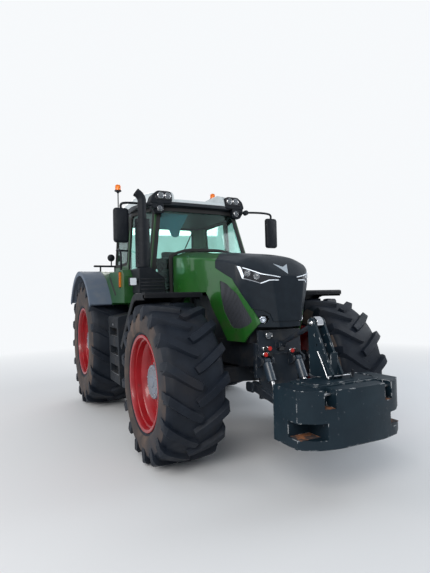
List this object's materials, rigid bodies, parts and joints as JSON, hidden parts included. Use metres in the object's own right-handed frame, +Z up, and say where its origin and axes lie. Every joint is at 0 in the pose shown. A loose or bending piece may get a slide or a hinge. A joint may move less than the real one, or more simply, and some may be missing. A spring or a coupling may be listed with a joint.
{
  "type": "farm tractor",
  "caption": "Large farm tractor with cab, long bonnet, lugged tyres, front ballast block on a lift linkage, rear lower links and drawbar.",
  "frame": {"origin": "on the ground, under the middle of the machine's overall box", "axes": "+Z up, the front faces -Y, +X is the machine's left-hand side"},
  "size_m": [2.96, 6.08, 3.64],
  "materials": {
    "tyre_rubber": "matt",
    "rim_paint": "gloss paint, dusty",
    "hub_paint": "grey paint",
    "chassis_cast": "dark grey paint",
    "cooler": "dull",
    "steel_parts": "bright steel",
    "black_steel": "dark paint, worn at the edges",
    "cylinder_paint": "grey-blue paint",
    "fender_plastic": "dark, matt",
    "extension_plastic": "grey-blue, matt",
    "body_panel": "bright green, gloss",
    "cab_paint": "bright green, gloss",
    "dark_panel": "near black, matt",
    "glass": "clear",
    "door_paint": "black paint",
    "roof_panel": "pale grey, satin",
    "amber": "clear orange",
    "seat_fabric": "woven",
    "interior_plastic": "matt",
    "ballast_paint": "dark paint, chipped at the edges"
  },
  "bodies": {
    "chassis": {"front_frame": "chassis_cast", "engine_block": "chassis_cast", "cooling_pack": "cooler", "gearbox_housing": "chassis_cast", "rear_axle": "chassis_cast", "front_axle": "chassis_cast", "cab_frame": "cab_paint", "windscreen": "glass", "cab_windows": "glass", "cab_roof": "roof_panel", "seat": "seat_fabric", "cab_fittings": "interior_plastic", "steering_wheel": "interior_plastic", "rear_fenders": "body_panel", "fender_extensions": "extension_plastic", "lamps": "fender_plastic", "beacons": "amber", "mirrors": "fender_plastic", "exhaust_stack": "black_steel", "side_tanks": "fender_plastic", "steps_left": "fender_plastic", "tool_box": "fender_plastic", "handrails": "door_paint", "front_hitch_frame": "black_steel", "rear_hitch_frame": "black_steel", "pto_stub": "steel_parts", "drawbar": "black_steel"},
    "steer_left": {"knuckle_left": "chassis_cast", "fender_front_left": "fender_plastic"},
    "steer_right": {"knuckle_right": "chassis_cast", "fender_front_right": "fender_plastic"},
    "steer_bar": {"steering_rod": "steel_parts"},
    "bonnet": {"bonnet_side": "body_panel", "bonnet_top": "dark_panel", "bonnet_nose": "dark_panel", "bonnet_grilles": "dark_panel", "headlamps": "glass"},
    "door_left": {"door_frame": "door_paint", "door_glass": "glass"},
    "front_links": {"front_lower_links": "black_steel"},
    "ballast": {"front_weight": "ballast_paint"},
    "front_top_bar": {"front_top_link": "black_steel"},
    "front_barrels": {"front_cylinders": "cylinder_paint"},
    "front_rods": {"front_cylinder_rods": "steel_parts"},
    "rear_links": {"rear_lower_links": "black_steel"},
    "rear_lift_rods": {"lift_rods": "black_steel"},
    "rear_lift_arms": {"lift_arms": "black_steel"},
    "rear_top_bar": {"rear_top_link": "black_steel"},
    "wheel_front_right": {"tyre_front_right": "tyre_rubber", "rim_front_right": "rim_paint", "hub_front_right": "hub_paint"},
    "wheel_front_left": {"tyre_front_left": "tyre_rubber", "rim_front_left": "rim_paint", "hub_front_left": "hub_paint"},
    "wheel_rear_right": {"tyre_rear_right": "tyre_rubber", "rim_rear_right": "rim_paint", "hub_rear_right": "hub_paint"},
    "wheel_rear_left": {"tyre_rear_left": "tyre_rubber", "rim_rear_left": "rim_paint", "hub_rear_left": "hub_paint"}
  },
  "joints": [
    {"name": "steer_left", "type": "hinge", "parent": "chassis", "child": "steer_left", "pos_m": [0.72, -1.26, 0.85], "axis": [0, 0, 1], "range_deg": [-25, 25]},
    {"name": "steer_right", "type": "hinge", "parent": "chassis", "child": "steer_right", "pos_m": [-0.72, -1.26, 0.85], "axis": [0, 0, 1], "range_deg": [-25.5, 25.5]},
    {"name": "steer_bar", "type": "slide", "parent": "chassis", "child": "steer_bar", "axis": [1, 0, 0], "range_m": [-0.084, 0.084]},
    {"name": "wheel_front_left", "type": "hinge", "parent": "steer_left", "child": "wheel_front_left", "pos_m": [1.035, -1.26, 0.85], "axis": [1, 0, 0], "continuous": true},
    {"name": "wheel_rear_left", "type": "hinge", "parent": "chassis", "child": "wheel_rear_left", "pos_m": [1.075, 1.89, 1.05], "axis": [1, 0, 0], "continuous": true},
    {"name": "wheel_front_right", "type": "hinge", "parent": "steer_right", "child": "wheel_front_right", "pos_m": [-1.035, -1.26, 0.85], "axis": [1, 0, 0], "continuous": true},
    {"name": "wheel_rear_right", "type": "hinge", "parent": "chassis", "child": "wheel_rear_right", "pos_m": [-1.075, 1.89, 1.05], "axis": [1, 0, 0], "continuous": true},
    {"name": "bonnet_hinge", "type": "hinge", "parent": "chassis", "child": "bonnet", "pos_m": [0, -0.08, 2.35], "axis": [-1, 0, 0], "range_deg": [0, 50]},
    {"name": "door_hinge", "type": "hinge", "parent": "chassis", "child": "door_left", "pos_m": [0.93, 0.86, 1.94], "axis": [0, 0, 1], "range_deg": [0, 70]},
    {"name": "front_links", "type": "hinge", "parent": "chassis", "child": "front_links", "pos_m": [0, -1.76, 0.78], "axis": [-1, 0, 0], "range_deg": [-14, 16]},
    {"name": "ballast_tilt", "type": "hinge", "parent": "front_links", "child": "ballast", "pos_m": [0, -2.46, 0.75], "axis": [-1, 0, 0], "range_deg": [-9, 8]},
    {"name": "front_top_bar", "type": "hinge", "parent": "chassis", "child": "front_top_bar", "pos_m": [0, -1.9, 1.23], "axis": [-1, 0, 0], "range_deg": [-18, 20.5]},
    {"name": "front_barrels", "type": "hinge", "parent": "chassis", "child": "front_barrels", "pos_m": [0, -1.9, 1.06], "axis": [-1, 0, 0], "range_deg": [-7, 8]},
    {"name": "front_rods", "type": "slide", "parent": "front_barrels", "child": "front_rods", "axis": [0, -0.4472, -0.8944], "range_m": [-0.072, 0.064]},
    {"name": "rear_links", "type": "hinge", "parent": "chassis", "child": "rear_links", "pos_m": [0, 2.14, 0.64], "axis": [1, 0, 0], "range_deg": [-12, 30]},
    {"name": "rear_lift_rods", "type": "hinge", "parent": "rear_links", "child": "rear_lift_rods", "pos_m": [0, 2.56, 0.6012], "axis": [1, 0, 0], "range_deg": [-31.5, 13]},
    {"name": "rear_lift_arms", "type": "hinge", "parent": "chassis", "child": "rear_lift_arms", "pos_m": [0, 2.02, 1.33], "axis": [1, 0, 0], "range_deg": [-12, 28.5]},
    {"name": "rear_top_bar", "type": "hinge", "parent": "chassis", "child": "rear_top_bar", "pos_m": [0, 2.2, 1.12], "axis": [1, 0, 0], "range_deg": [-20, 40]}
  ],
  "couplings": [
    {"joint": "steer_right", "follows": "steer_left", "ratio": 1},
    {"joint": "steer_bar", "follows": "steer_left", "m_per_rad": -0.187},
    {"joint": "ballast_tilt", "follows": "front_links", "ratio": -0.5363},
    {"joint": "front_top_bar", "follows": "front_links", "ratio": 1.2428},
    {"joint": "front_barrels", "follows": "front_links", "ratio": 0.4734},
    {"joint": "front_rods", "follows": "front_links", "m_per_rad": -0.2523},
    {"joint": "rear_lift_rods", "follows": "rear_links", "ratio": -1.0199},
    {"joint": "rear_lift_arms", "follows": "rear_links", "ratio": 0.9111}
  ]
}
